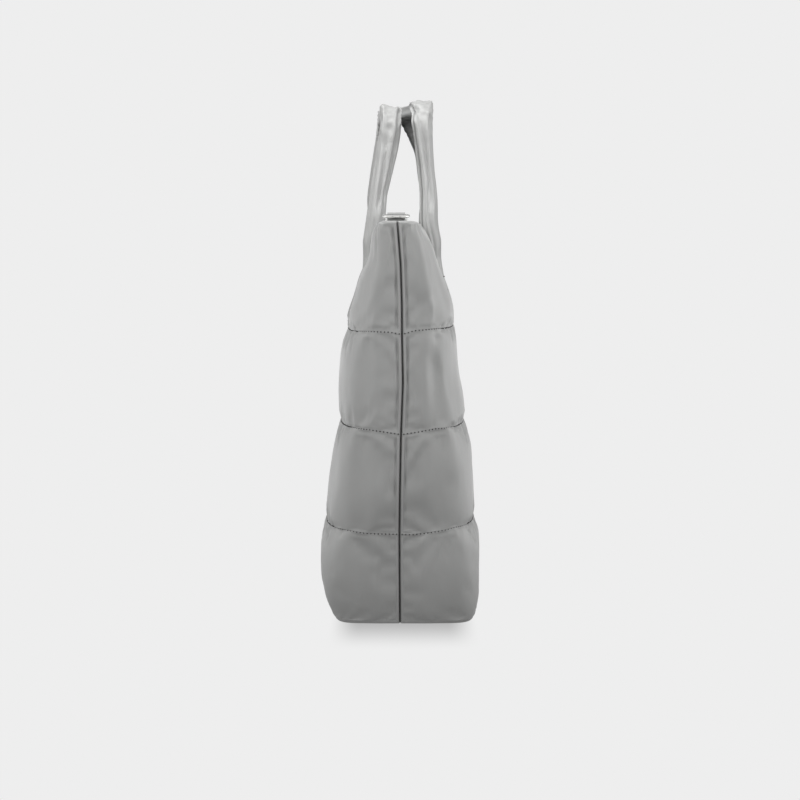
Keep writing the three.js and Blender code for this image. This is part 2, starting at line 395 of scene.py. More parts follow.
# Stitches: how far the thread lies out of the cloth and dives at its ends, in thread radii, and the corners
# of the box that is sewn on a handle's end, along and across it
STITCH_LIFT = 0.5
STITCH_DIVE = 0.5
END_BOX = np.array([(4, -9), (4, 9), (17, 9), (17, -9), (4, -9)]) * MM
END_BOX_STEPS = 12
END_BULGE_LEAST = 0.02

# Cloth simulation of the filling, on every second row and column
SWELL_FRAMES = 20
SWELL_STEP = 2
SWELL_QUALITY = 6
SWELL_MASS = 0.15
SWELL_PRESSURE = 4.0
SWELL_SLACK = -0.02

# Lamps that light the whole bag or some of its pieces: the middle and size of each, the setting that holds
# its power and the words of which one is in the names of the pieces that it lights
Lamp = namedtuple("Lamp", "place size power lights")
BODY_WORDS = ("quilt", "base", "tab")
HANDLE_WORDS = ("puffed",)
FLOOR_WORDS = (*BODY_WORDS, "plated")
ALL_WORDS = (*FLOOR_WORDS, *HANDLE_WORDS)
LAMPS = {
    "left_lamp": Lamp((-1.1, -2.4, 0.9), (1.8, 2.0), "left_power", ALL_WORDS),
    "right_lamp": Lamp((-1.0, 2.3, 0.4), (1.8, 1.4), "right_power", ALL_WORDS),
    "top_lamp": Lamp((0, 0, 1.25), (1.2, 1.2), "top_power", BODY_WORDS),
    "front_lamp": Lamp((1.7, 0, 0.7), (1.7, 1.1), "front_power", FLOOR_WORDS),
    "rear_lamp": Lamp((-1.7, 0, 0.7), (1.7, 1.1), "front_power", ALL_WORDS),
    "left_handle_lamp": Lamp((0.36, -0.34, 0.84), (0.6, 0.5), "handle_power", HANDLE_WORDS),
    "right_handle_lamp": Lamp((0.56, 0.4, 0.8), (0.65, 0.5), "handle_power", HANDLE_WORDS),
}

# The floor's shade fades between two distances from its middle along X and along Y, where it is shifted,
# and the light that the floor gives comes up between two. The room is darker off the side seams, by the X
# share of a direction.
SHADE_X = (0.115, 0.265)
SHADE_Y = (0.040, 0.070)
SHADE_SHIFT = 0.003
FLOOR_REACH = (0.16, 1.3)
DARK_WAY = (0.55, 0.88)
FLOOR_SIZE = 60
SENSOR_WIDTH = 36

# Finishes: the patterns and bumps with the values of their sockets, the plain values of the satin, the
# spread of its clouds, the span of each roughness, and the shares of the darker colours
CLOUDS = {"Scale": 14.0, "Detail": 3.0}
GLOSS = {"Scale": 40.0, "Detail": 2.0}
CRUMPLES = {"Scale": 70.0, "Detail": 4.0, "Roughness": 0.55}
WEAVE = {"Scale": 560.0}
TWIST = {"Scale": 300.0, "Distortion": 1.5}
RUBBED = {"Scale": 260.0, "Detail": 5.0}
WEAVE_BUMP = {"Strength": 0.12, "Distance": 0.0001}
CRUMPLE_BUMP = {"Strength": 0.25, "Distance": 0.0012}
SATIN = {"Metallic": 0.1, "Sheen Weight": 0.25, "Sheen Roughness": 0.4}
SATIN_SHADE = (-0.3, 1.3)
SATIN_ROUGHNESS = (0.36, 0.48)
THREAD_ROUGHNESS = (0.5, 0.7)
PLATING_ROUGHNESS = (0.10, 0.22)
THREAD_SHADE = 0.7
PLATING_SHADE = 0.92

# Mesh density and the smallest sizes that count
TINY = 1e-12
MERGE_DISTANCE = 0.002 * MM
SECTION_SAMPLES = 3001
ROUND_DIGITS = 12
PANEL_COLUMNS = 190
COLUMN_CROWDING = 0.82
ROWS_PER_TIER = 34
ROW_CROWDING = 0.8
WALL_STEPS = 3
ROLL_STEPS = 6
LIP_COLUMNS = WALL_STEPS + ROLL_STEPS
ROLL_START = WALL_STEPS + 2
LIP_STEPS = 6
FOOT_STEPS = 3
HELD_COLUMNS = 3
BASE_POINTS = 97
HANDLE_STEPS = 14
HANDLE_SIDES = 64
SIDE_CROWDING = 0.7
RING_POINTS = 145
RING_CORNER_POINTS = 10
RING_BOW_POINTS = 60
WIRE_SIDES = 20
TAB_LOOP_POINTS = 40
TAB_PLY_POINTS = 20
TAB_SLANT_STEPS = 6
TAB_COLUMNS = 13
BEAD_SEGMENTS = 8
BEAD_RINGS = 6


# Properties


def length_property(label, words, millimetres):
    return bpy.props.FloatProperty(
        name=label, description=words, default=millimetres * MM, unit="LENGTH", precision=5
    )


def colour_property(label, words, value):
    return bpy.props.FloatVectorProperty(
        name=label, description=words, default=value, size=3, min=0, max=1, subtype="COLOR"
    )


def power_property(label, words, watts):
    return bpy.props.FloatProperty(name=label, description=words, default=watts, unit="POWER")


def light_property(label, words, value):
    return bpy.props.FloatProperty(name=label, description=words, default=value, min=0)


class BagSizes(bpy.types.PropertyGroup):
    """Sizes of the seams, stitches and filling"""

    seam_gap: length_property("Seam gap", "Half of the gap between the lips of a side seam", 0.8)
    seam_depth: length_property("Seam depth", "How deep a side seam goes under its lips", 7)
    lip_radius: length_property("Lip radius", "Radius of the rolled lips of a side seam", 1.8)
    valley_depth: length_property("Valley depth", "Depth of the hollow beside a side seam", 3.2)
    ridge_height: length_property("Ridge height", "Height of the soft ridge past that hollow", 2)
    line_height: length_property("Line height", "How far the sewn cloth stands up at a quilting line", 0.7)
    line_width: length_property("Line width", "Half width of that strip of cloth", 1.1)
    pucker_height: length_property("Pucker height", "Height of the small gathers at the quilting", 0.55)
    sag_height: length_property("Sag height", "Height of the soft unevenness of the filling", 1.1)
    swell_cap: length_property("Swell cap", "How far the filling may push the cloth out", 2.2)
    stitch_pitch: length_property("Stitch pitch", "Distance from one stitch to the next", 3.4)
    stitch_length: length_property("Stitch length", "Length of the thread that shows of a stitch", 1.45)
    thread_radius: length_property("Thread radius", "Half of the thread's thickness", 0.64)


class BagColours(bpy.types.PropertyGroup):
    """Colours of the finishes"""

    satin_light: colour_property("Satin light", "Satin where it is cleanest", (0.414, 0.416, 0.41))
    satin_dark: colour_property("Satin dark", "Satin where the filling shows through", (0.339, 0.341, 0.336))
    # The thread's near-black colour is painted shade: it stands in for the shadow in the needle holes
    # between the stitches.
    thread: colour_property("Thread", "Sewing thread", (0.045, 0.046, 0.045))
    metal: colour_property("Metal", "Plated rings", (0.86, 0.86, 0.84))
    ground: colour_property("Ground", "Floor and backdrop", (0.855, 0.855, 0.855))


class BagStage(bpy.types.PropertyGroup):
    """Camera and lamps"""

    eye_distance: length_property("Eye distance", "Distance of the camera from the middle of the bag", 2000)
    eye_height: length_property("Eye height", "Height of the camera over the floor", 352)
    eye_pitch: bpy.props.FloatProperty(
        name="Eye pitch",
        description="How far the camera looks down",
        default=math.radians(4.391),
        subtype="ANGLE",
    )
    lens: bpy.props.FloatProperty(
        name="Lens",
        description="Focal length in millimetres on a 36 mm sensor",
        default=91.0,
        min=1,
        unit="CAMERA",
    )
    left_power: power_property("Left power", "Power of the lamp on the front panel's side", 3)
    right_power: power_property("Right power", "Power of the lamp on the back panel's side", 8)
    top_power: power_property("Top power", "Power of the lamp overhead", 7.5)
    front_power: power_property("Front power", "Power of each lamp that faces a side seam", 5)
    handle_power: power_property("Handle power", "Power of each lamp that lights the handles", 4.4)
    fill_light: light_property("Fill light", "Brightness of the room around the bag", 0.74)
    front_fill: light_property("Front fill", "Brightness of the room off the side seams", 0.05)
    floor_light: light_property("Floor light", "Brightness of the floor away from the bag", 1.0)
    foot_light: light_property("Foot light", "Brightness of the floor at the foot of the bag", 0.34)
    floor_shade: bpy.props.FloatProperty(
        name="Floor shade",
        description="How dark the floor is at the foot of the bag",
        default=0.47,
        min=0,
        max=1,
        subtype="FACTOR",
    )


class BagSettings(bpy.types.PropertyGroup):
    """Everything that a user would change"""

    sizes: bpy.props.PointerProperty(type=BagSizes, name="Sizes", description="Seams, stitches and filling")
    colours: bpy.props.PointerProperty(type=BagColours, name="Colours", description="Colours of finishes")
    stage: bpy.props.PointerProperty(type=BagStage, name="Stage", description="Camera and lamps")


# Small maths


def between(low, high, share):
    return low + (high - low) * share


def smooth_step(values, low, high):
    share = np.clip((values - low) / (high - low), 0, 1)
    return share * share * (3 - 2 * share)


def hump(values, middle, width):
    return np.exp(-(((values - middle) / width) ** 2))


def unit(vectors):
    return vectors / np.maximum(np.linalg.norm(vectors, axis=-1, keepdims=True), TINY)


def crowded(count, crowding):
    """Shares from 0 to 1 that lie closer together at both ends."""
    even = np.linspace(0, 1, count + 1)
    return even - crowding * np.sin(2 * np.pi * even) / (2 * np.pi)


def soft_noise(places, grain, side=0):
    """Smooth noise from -1 to 1 at an array of places, with bumps of the grain's size."""
    flat = places.reshape(-1, 3) / grain.size + (grain.seed + side)
    values = [noise.noise(Vector(place)) for place in flat]
    return np.array(values).reshape(places.shape[:-1])


def grid_normals(points):
    return unit(np.cross(np.gradient(points, axis=1), np.gradient(points, axis=0)))


def travelled(points, axis):
    """Distance along the rows or columns of a grid of points."""
    steps = np.linalg.norm(np.diff(points, axis=axis), axis=-1)
    start = np.zeros_like(np.take(steps, [0], axis=axis))
    return np.concatenate([start, np.cumsum(steps, axis=axis)], axis=axis)


def interpolated(places, run, rows):
    """Rows of values at places between those of a run."""
    columns = rows.reshape(len(rows), -1).T
    return np.column_stack([np.interp(places, run, column) for column in columns])


def spline(points, per_span):
    """Points along a centripetal spline through the given ones."""
    ends = np.vstack([2 * points[0] - points[1], points, 2 * points[-1] - points[-2]])
    knots = np.concatenate([[0], np.cumsum(np.sqrt(np.linalg.norm(np.diff(ends, axis=0), axis=1)))])
    spans = []
    for i in range(len(points) - 1):
        a, b, c, d = ends[i : i + 4]
        ta, tb, tc, td = knots[i : i + 4]
        t = np.linspace(tb, tc, per_span, endpoint=False)[:, None]
        ab = ((tb - t) * a + (t - ta) * b) / (tb - ta)
        bc = ((tc - t) * b + (t - tb) * c) / (tc - tb)
        cd = ((td - t) * c + (t - tc) * d) / (td - tc)
        abc = ((tc - t) * ab + (t - ta) * bc) / (tc - ta)
        bcd = ((td - t) * bc + (t - tb) * cd) / (td - tb)
        spans.append(((tc - t) * abc + (t - tb) * bcd) / (tc - tb))
    return np.vstack([*spans, points[-1:]])


# Mesh helpers


def grid_piece(name, points):
    """A grid primitive whose vertices take the given places, with a UV map in metres along the cloth."""
    rows, columns, _ = points.shape
    bpy.ops.object.select_all(action="DESELECT")
    bpy.ops.mesh.primitive_grid_add(x_subdivisions=columns - 1, y_subdivisions=rows - 1, size=1)
    piece = bpy.context.object
    piece.name = name
    piece.data.name = name
    piece.data.vertices.foreach_set("co", points.ravel())
    cloth = np.stack([travelled(points, 1), travelled(points, 0)], axis=-1).reshape(-1, 2)
    corners = np.zeros(len(piece.data.loops), int)
    piece.data.loops.foreach_get("vertex_index", corners)
    piece.data.uv_layers.active.data.foreach_set("uv", cloth[corners].ravel())
    piece.data.update()
    return piece


def read_points(piece, shape):
    flat = np.zeros(len(piece.data.vertices) * 3)
    piece.data.vertices.foreach_get("co", flat)
    return flat.reshape(shape)


def close_seams(piece):
    """Merges the vertices that meet, and shades the piece smooth."""
    bpy.ops.object.mode_set(mode="EDIT")
    bpy.ops.mesh.select_all(action="SELECT")
    bpy.ops.mesh.remove_doubles(threshold=MERGE_DISTANCE)
    bpy.ops.object.mode_set(mode="OBJECT")
    bpy.ops.object.shade_smooth()


def apply_all(piece):
    for modifier in list(piece.modifiers):
        bpy.ops.object.modifier_apply(modifier=modifier.name)


def dress(piece, material, body):
    """Gives a finished piece its material and the body that it rides on."""
    piece.data.materials.clear()
    piece.data.materials.append(material)
    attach(piece, body)
    return piece


def swell(points, held, cap):
    """A grid of cloth after the filling has pushed it out between the places where it is held."""
    coarse = points[::SWELL_STEP, ::SWELL_STEP]
    cloth = grid_piece("swelling_cloth", coarse)
    sewn = cloth.vertex_groups.new(name="sewn")
    for index, weight in enumerate(held[::SWELL_STEP, ::SWELL_STEP].ravel()):
        sewn.add([index], float(weight), "REPLACE")
    filling = cloth.modifiers.new("Filling", "CLOTH")
    filling.settings.quality = SWELL_QUALITY
    filling.settings.mass = SWELL_MASS
    filling.settings.vertex_group_mass = sewn.name
    filling.settings.use_pressure = True
    filling.settings.uniform_pressure_force = SWELL_PRESSURE
    filling.settings.shrink_min = SWELL_SLACK
    filling.settings.effector_weights.gravity = 0
    for step in range(1, SWELL_FRAMES + 1):
        bpy.context.scene.frame_set(step)
    bpy.ops.object.modifier_apply(modifier=filling.name)
    moved = read_points(cloth, coarse.shape) - coarse
    bpy.data.objects.remove(cloth)
    distance = np.linalg.norm(moved, axis=-1, keepdims=True)
    moved *= np.minimum(1, cap / np.maximum(distance, TINY))
    return points + finer(moved, points.shape)


def finer(values, shape):
    """A coarse grid of values spread over every row and column of the fine one."""
    rows = np.arange(0, shape[0], SWELL_STEP)
    columns = np.arange(0, shape[1], SWELL_STEP)
    tall = np.zeros((shape[0], values.shape[1], 3))
    wide = np.zeros(shape)
    for axis in range(3):
        for column in range(values.shape[1]):
            tall[:, column, axis] = np.interp(np.arange(shape[0]), rows, values[:, column, axis])
        for row in range(shape[0]):
            wide[row, :, axis] = np.interp(np.arange(shape[1]), columns, tall[row, :, axis])
    return wide


# Quilted panels


class HalfSection:
    """Half of a rounded section, from the right side seam round one face to the left side seam."""

    def __init__(self, half_width, half_depth, corner):
        angles = np.linspace(0, np.pi, SECTION_SAMPLES)
        power = 2 / corner
        self.x = np.sign(np.cos(angles)) * np.abs(np.cos(angles)) ** power * half_width
        self.y = np.abs(np.sin(angles).round(ROUND_DIGITS)) ** power * half_depth
        self.run = np.concatenate([[0], np.cumsum(np.hypot(np.diff(self.x), np.diff(self.y)))])
        self.length = self.run[-1]

    def at(self, distances):
        return np.interp(distances, self.run, self.x), np.interp(distances, self.run, self.y)

    def from_ends(self, distances):
        return np.minimum(distances, self.length - distances)


def nominal(tier, share, field):
    return between(getattr(SEAMS[tier], field), getattr(SEAMS[tier + 1], field), share)


def of_side(row, side, ending=""):
    """The column of a row that is for the front or for the back."""
    return getattr(row, SIDE_WORDS[side] + ending)


def wander(z, field):
    return np.interp(z, [row.z for row in WANDERS], [getattr(row, field) for row in WANDERS])


def climb(side, z, from_seam):
    """How far a quilting line has climbed at each distance from its side seam."""
    rows = np.array(CLIMBS[side])
    heights = [np.interp(z, rows[:, 0], rows[:, column]) for column in range(1, rows.shape[1])]
    return np.interp(from_seam, CLIMB_PLACES, [0, *heights])


def fullness(side, z, from_seam):
    """How much fuller than the even tier the filling stands at each distance from the side seam."""
    places = [place for place in FULLNESS if place.side == side]
    extra = sum(place.extra * float(hump(z, place.z, place.reach)) for place in places)
    return extra * smooth_step(from_seam, *FULLNESS_FADE)


def tier_rows():
    """Tier and share of its height for each row of a panel."""
    shares = crowded(ROWS_PER_TIER, ROW_CROWDING)
    rows = [(0, 0.0)]
    for tier in range(len(TIERS)):
        rows += [(tier, float(share)) for share in shares[1:]]
    return rows


def lip_profile(sizes):
    """Distance from a seam's plane and depth under the cloth, from the bottom of the seam to its lip."""
    turn = np.linspace(0, np.pi / 2, ROLL_STEPS, endpoint=False)
    roll_across = sizes.seam_gap + sizes.lip_radius * (1 - np.cos(turn))
    roll_sunk = sizes.lip_radius * (1 - np.sin(turn))
    wall_across = [SEAM_PINCH, sizes.seam_gap, sizes.seam_gap]
    halfway = (sizes.seam_depth + sizes.lip_radius) / 2
    wall_sunk = [sizes.seam_depth, sizes.seam_depth - sizes.seam_gap, halfway]
    return np.concatenate([wall_across, roll_across]), np.concatenate([wall_sunk, roll_sunk])


def seat_hold(x):
    """How far the cloth at x lies under a handle end, from 0 to 1."""
    return 1 - smooth_step(np.abs(np.abs(x) - SEAT_X), SEAT_HALF, SEAT_HALF + SEAT_FADE)


def pressed(side, share, x, depth):
    """Distance from the middle plane where the handle seats have pressed the top tier."""
    rows = [SEATS[0].row - 1] + [seat.row for seat in SEATS]
    floors = [CLEAR_FLOOR] + [of_side(seat, side, "_floor") for seat in SEATS]
    floor = np.interp(share * SEAT_ROWS, rows, floors)
    return between(depth, np.minimum(depth, floor), seat_hold(x))


def outer_row(side, tier, share, sizes):
    """Points of the outer cloth at one height, and each one's distance from the nearest side seam."""
    puff = TIERS[tier]
    lift = of_side(puff, side, "_lift")
    swelling = math.sqrt(max(math.sin(math.pi * share**lift), 0))
    section = HalfSection(
        nominal(tier, share, "half_width") + puff.width * math.sin(math.pi * share),
        nominal(tier, share, "half_depth") + of_side(puff, side) * swelling,
        nominal(tier, share, "corner"),
    )
    across, sunk = lip_profile(sizes)
    start = sizes.seam_gap + sizes.lip_radius
    distances = start + (section.length - 2 * start) * crowded(PANEL_COLUMNS, COLUMN_CROWDING)
    x, y = section.at(distances)
    edge = section.x[0]
    x = np.concatenate([edge - sunk, x, (sunk - edge)[::-1]])
    y = np.concatenate([across, y, across[::-1]])
    from_seam = np.concatenate([across, section.from_ends(distances), across[::-1]])
    z = nominal(tier, share, "z")
    depth = y + side * nominal(tier, share, "sway") + fullness(side, z, from_seam)
    if tier == len(TIERS) - 1:
        depth = pressed(side, share, x, depth)
    y = side * depth + wander(z, "shift") * hump(from_seam, 0, WANDER_REACH)
    return np.stack([x, y, z + climb(side, z, from_seam)], axis=-1), from_seam


def inner_row(side, tier, share, sizes):
    """Points of the lining at one height, column for column with the outer cloth."""
    inset = nominal(tier, share, "wall") + TIERS[tier].inside * math.sin(math.pi * share)
    section = HalfSection(
        nominal(tier, share, "half_width") - inset - SEAM_GROOVE,
        nominal(tier, share, "half_depth") - inset,
        nominal(tier, share, "corner"),
    )
    start = sizes.lip_radius
    edge = np.linspace(0, start, LIP_COLUMNS, endpoint=False)
    main = start + (section.length - 2 * start) * crowded(PANEL_COLUMNS, COLUMN_CROWDING)
    distances = np.concatenate([edge, main, (section.length - edge)[::-1]])
    x, y = section.at(distances)
    z = nominal(tier, share, "z")
    follow = 1 - smooth_step(z, *FOOT_FOLLOW)
    depth = np.maximum(y, PIECE_GAP / 2) + follow * fullness(side, z, section.from_ends(distances))
    return np.stack([x, side * depth + nominal(tier, share, "sway"), np.full_like(x, z)], axis=-1)


def rolled(outer, inner, rise, steps):
    """Rows that close an edge of the wall in a half round, from its last row to the middle of the wall."""
    middle = (outer + inner) / 2
    up = np.array([0, 0, rise])
    rows = []
    for angle in np.linspace(0, np.pi / 2, steps + 1)[1:]:
        lifted = middle + up * math.sin(angle)
        rows.append([lifted + (edge - middle) * math.cos(angle) for edge in (outer, inner)])
    return np.array(rows)


def seam_fold(fold, from_seam, uneven):
    """Share of its full height that a fold beside a side seam has at each place."""
    return hump(from_seam, fold.distance, fold.width) * (fold.even + fold.uneven * uneven)


def relief(side, cloth, sizes):
    """How far the finished cloth stands out of its smooth shape: lines, hollows, wrinkles and gathers."""
    points, from_seam, z = cloth.outer, cloth.from_seam, cloth.level
    from_line = np.min([np.abs(z - line.z) for line in QUILT_LINES], axis=0)
    uneven = soft_noise(points, UNEVEN_GRAIN)
    out = -sizes.valley_depth * wander(z, "hollow") * seam_fold(VALLEY, from_seam, uneven)
    out += sizes.ridge_height * seam_fold(RIDGE, from_seam, uneven)
    out -= DIP_SHARE * sizes.ridge_height * seam_fold(DIP, from_seam, uneven)
    out *= smooth_step(from_line, 0, SEAM_FOLD_RISE)
    for wrinkle in WRINKLES:
        if wrinkle.side == side:
            out += wrinkle.height * wrinkle_share(wrinkle, from_seam, z)
    gathers = soft_noise(points * GATHER_STRETCH, GATHER_GRAIN, side) * np.exp(-from_line / GATHER_REACH)
    out += sizes.pucker_height * gathers * smooth_step(from_line, 0, GATHER_RISE)
    sag = soft_noise(points, SAG_GRAIN, side) + SAG_FINE_SHARE * soft_noise(points, SAG_FINE_GRAIN, side)
    sag = sag * smooth_step(from_line, 0, SAG_RISE) * smooth_step(from_seam, *SAG_FROM_SEAM)
    out += sizes.sag_height * sag
    lip = sizes.seam_gap + sizes.lip_radius
    free = smooth_step(from_seam, lip, lip + LIP_FADE) * smooth_step(TOP_EDGE.z - z, 0, TOP_FADE)
    seated = seat_hold(points[..., 0]) * smooth_step(z, TOP_LINE.z, TOP_LINE.z + SEAT_RELIEF_FADE)
    out *= free * (1 - seated) * smooth_step(z, 0, FOOT_FADE)
    return out + sizes.line_height * hump(from_line, 0, sizes.line_width)


def wrinkle_share(wrinkle, from_seam, z):
    """Share of a wrinkle's height at each place, from the distance to its line."""
    start = np.array([wrinkle.from_seam, wrinkle.from_z])
    along = np.array([wrinkle.to_seam, wrinkle.to_z]) - start
    place = np.stack(np.broadcast_arrays(from_seam, z), axis=-1) - start
    share = np.clip(place @ along / (along @ along), 0, 1)
    distance = np.linalg.norm(place - share[..., None] * along, axis=-1)
    return hump(distance, 0, wrinkle.width)


Cloth = namedtuple("Cloth", "outer inner from_seam level")


def panel_facing(side, main):
    """Directions away from the bag for every column of a panel. Those of a lip are its neighbour's."""
    return np.pad(side * grid_normals(main), ((0, 0), (LIP_COLUMNS, LIP_COLUMNS), (0, 0)), mode="edge")


def panel_cloth(side, sizes):
    """The cloth of a panel before its finish."""
    rows = [outer_row(side, tier, share, sizes) for tier, share in tier_rows()]
    return Cloth(
        outer=np.array([points for points, _ in rows]),
        inner=np.array([inner_row(side, tier, share, sizes) for tier, share in tier_rows()]),
        from_seam=np.array([distances for _, distances in rows]),
        level=np.array([[nominal(tier, share, "z")] for tier, share in tier_rows()]),
    )


def sewn_places(main):
    """1 where the cloth of a panel is held by thread, an edge or a handle end, and 0 where it is free."""
    held = np.zeros(main.shape[:2])
    held[::ROWS_PER_TIER] = 1
    held[:, :HELD_COLUMNS] = 1
    held[:, -HELD_COLUMNS:] = 1
    low = TOP_LINE.z + SEAT_HOLD_START
    under = seat_hold(main[..., 0]) * smooth_step(main[..., 2], low, low + SEAT_HOLD_FADE)
    return np.maximum(held, under)


def finished(side, cloth, facing, sizes):
    """Points of a panel's outer cloth with its relief."""
    return cloth.outer + facing * relief(side, cloth, sizes)[..., None]


def quilted_skin(side, sizes):
    """Outer cloth of a panel with its filling and finish, and the lining behind it.

    The columns of the front go the other way for the simulation, because pressure pushes along the normals.
    """
    cloth = panel_cloth(side, sizes)
    main = cloth.outer[:, LIP_COLUMNS:-LIP_COLUMNS].copy()
    facing = panel_facing(side, main)
    swollen = swell(main[:, ::side], sewn_places(main)[:, ::side], sizes.swell_cap)[:, ::side]
    cloth.outer[:, LIP_COLUMNS:-LIP_COLUMNS] = swollen
    return finished(side, cloth, facing, sizes), cloth.inner


def build_panel(side, sizes, material):
    outer, inner = quilted_skin(side, sizes)
    lip = rolled(outer[-1], inner[-1], TOP_LIP_RISE, LIP_STEPS)
    foot = rolled(outer[0], inner[0], FOOT_RISE, FOOT_STEPS)[::-1]
    outside = np.concatenate([foot[:, 0], outer, lip[:, 0]])
    inside = np.concatenate([foot[:, 1], inner, lip[:, 1]])
    loop = np.concatenate([outside, inside[:, ::-1], outside[:, :1]], axis=1)
    word = SIDE_WORDS[side]
    panel = grid_piece(f"{word}_quilted_panel", loop if side == BACK else loop[:, ::-1])
    close_seams(panel)
    dress(panel, material, "bag")
    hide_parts(f"{word}_panel")
    return panel


# Base pad


def build_base(material):
    foot = SEAMS[0]
    inset = foot.wall - BASE_TUCK
    section = HalfSection(foot.half_width - inset - SEAM_GROOVE, foot.half_depth - inset, foot.corner)
    distances = section.length * np.linspace(0, 1, BASE_POINTS)
    x, y = section.at(distances)
    back, front = [y + fullness(side, foot.z, section.from_ends(distances)) for side in (BACK, FRONT)]
    outline = np.stack([np.concatenate([x, -x[1:]]), np.concatenate([back, -front[1:]])], axis=-1)
    rings = []
    for row in (*BASE_UNDERSIDE, *BASE_EDGE, *BASE_TOP):
        rings.append(np.column_stack([outline * row.share, np.full(len(outline), row.rise * BASE_THICK)]))
    pad = grid_piece("base_pad", np.array(rings)[:, ::-1][::-1])
    close_seams(pad)
    dress(pad, material, "bag")
    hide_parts("base_panel")
    return pad


# Puffed handles


def leg_stations(side, end):
    """Rows of x, y, z, across and thick for one leg, from its sewn end up to the top of the handle."""
    rows = []
    for seat in SEATS:
        y = of_side(seat, side, "_floor") + SEAT_GAP + seat.thick / 2
        z = between(TOP_LINE.z, TOP_EDGE.z, seat.row / SEAT_ROWS)
        rows.append((end * seat.x, side * y, z, seat.across, seat.thick))
    for station in FREE_STATIONS[side]:
        y = getattr(station, END_WORDS[end])
        thick = getattr(station, f"{END_WORDS[end]}_thick")
        rows.append((end * station.x, side * y, station.z, station.across, thick))
    return rows


HandleLine = namedtuple("HandleLine", "centres away outward half_across half_thick fold")


def handle_frame(side):
    """Centres, section axes, half sizes and fold shares along a handle."""
    stations = np.array(leg_stations(side, RIGHT) + leg_stations(side, LEFT)[::-1])
    centres = spline(stations[:, :3], HANDLE_STEPS)
    along = unit(np.gradient(centres, axis=0))
    away = unit(np.array([0.0, side, 0.0]) - along * (along[:, 1:2] * side))
    outward = -side * np.cross(along, away)
    places = np.linspace(0, len(stations) - 1, len(centres))
    half_across, half_thick = interpolated(places, np.arange(len(stations)), stations[:, 3:]).T / 2
    fold = hump(np.minimum(places, places[-1] - places), FOLD_PLACE, FOLD_SPREAD)
    return HandleLine(centres, away, outward, half_across, half_thick, fold)


def handle_angles(side):
    """Angles round a handle, starting and ending at its long seam and closer together there."""
    return HANDLE_SEAM_ANGLES[side] + 2 * np.pi * crowded(HANDLE_SIDES, SIDE_CROWDING)


def handle_points(side):
    """Rings of points of a puffed handle, with its seam, creases and folded corners."""
    handle = handle_frame(side)
    away, outward, fold = handle.away[:, None], handle.outward[:, None], handle.fold[:, None]
    angles = handle_angles(side)
    turn = np.angle(np.exp(1j * angles))[None, :]
    boxy = 2 / (2 + FOLD_BOXINESS * fold)
    beside = np.sign(np.cos(turn)) * np.abs(np.cos(turn)) ** boxy
    rise = np.sign(np.sin(turn)) * np.abs(np.sin(turn)) ** boxy
    thick = handle.half_thick[:, None] * beside - FOLDS[side].tuck * fold * smooth_step(beside, 0, 1)
    filled = 1 + FOLD_FILL * fold * smooth_step(rise, *FOLD_FILL_RISE)
    across = handle.half_across[:, None] * rise * filled
    points = handle.centres[:, None] + away * thick[..., None] + outward * across[..., None]
    radial = unit(away * np.cos(turn)[..., None] + outward * np.sin(turn)[..., None])
    size = np.sqrt(handle.half_across * handle.half_thick)[:, None]
    from_seam = size * np.minimum(angles - angles[0], angles[-1] - angles)[None, :]
    out = sum(roll.height * hump(from_seam, roll.distance, roll.width) for roll in HANDLE_SEAM)
    for crease in CREASES:
        if crease.side == side:
            out = out + crease.height * crease_share(crease, turn, points[..., 2])
    run = travelled(handle.centres[:, None], 0)
    ripple = np.cos(2 * np.pi * run / RIPPLE_PITCH) + RIPPLE_LEVEL
    out = out + RIPPLE_HEIGHT * fold * ripple * smooth_step(-rise, *RIPPLE_RISE)
    streaks = np.broadcast_arrays(run * STREAK_STRETCH, size * np.cos(turn), size * np.sin(turn))
    out = out + STREAK_HEIGHT * soft_noise(np.stack(streaks, axis=-1), STREAK_GRAIN, side)
    out = out + LUMP_HEIGHT * soft_noise(points, LUMP_GRAIN, side)
    out = out * smooth_step(points[..., 2], *HANDLE_RELIEF_FADE)
    points = fold_tops(side, points + radial * out[..., None], beside)
    crumple = CRUMPLE_LEVEL - np.abs(CRUMPLE_GAIN * soft_noise(points, CRUMPLE_GRAIN, side))
    crumple = CRUMPLE_HEIGHT * fold * crumple * smooth_step(rise, *CRUMPLE_RISE)
    return points + radial * crumple[..., None]


def fold_tops(side, points, beside):
    """Presses the outside of each top corner and the top itself flat, as a folded tube is."""
    fold = FOLDS[side]
    over = (np.abs(points[..., 0]) - fold.x + points[..., 2] - fold.z) / 2 - fold.notch * np.abs(beside)
    over = FOLD_PRESS * np.maximum(over, 0)
    points[..., 0] -= np.sign(points[..., 0]) * over
    top = between(fold.toward, fold.away, (beside + 1) / 2) - fold.sag * (1 - beside**2)
    points[..., 2] -= over
    points[..., 2] -= FOLD_PRESS * np.maximum(points[..., 2] - top, 0)
    return points


def crease_share(crease, turn, z):
    """Share of a crease's height at each place round and along a handle."""
    middle = np.radians(np.interp(z, (crease.low_z, crease.high_z), (crease.low_angle, crease.high_angle)))
    beside = np.angle(np.exp(1j * (turn - middle)))
    begun = smooth_step(z, crease.low_z - CREASE_FADE, crease.low_z)
    ended = smooth_step(z, crease.high_z, crease.high_z + CREASE_FADE)
    return hump(beside, 0, math.radians(crease.width)) * begun * (1 - ended)


def build_handle(side, material):
    rings = handle_points(side)
    caps = []
    for ring, neighbour in ((rings[0], rings[1]), (rings[-1], rings[-2])):
        middle = ring.mean(axis=0)
        out = unit((ring - neighbour).mean(axis=0))
        caps.append([middle + (ring - middle) * row.share + out * row.out for row in HANDLE_CAP])
    rows = np.concatenate([caps[0], rings, caps[1][::-1]])
    word = SIDE_WORDS[side]
    handle = grid_piece(f"{word}_puffed_handle", rows if side == FRONT else rows[:, ::-1])
    close_seams(handle)
    dress(handle, material, "bag")
    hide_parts(f"{word}_handle")
    return handle


# D-rings and their tabs


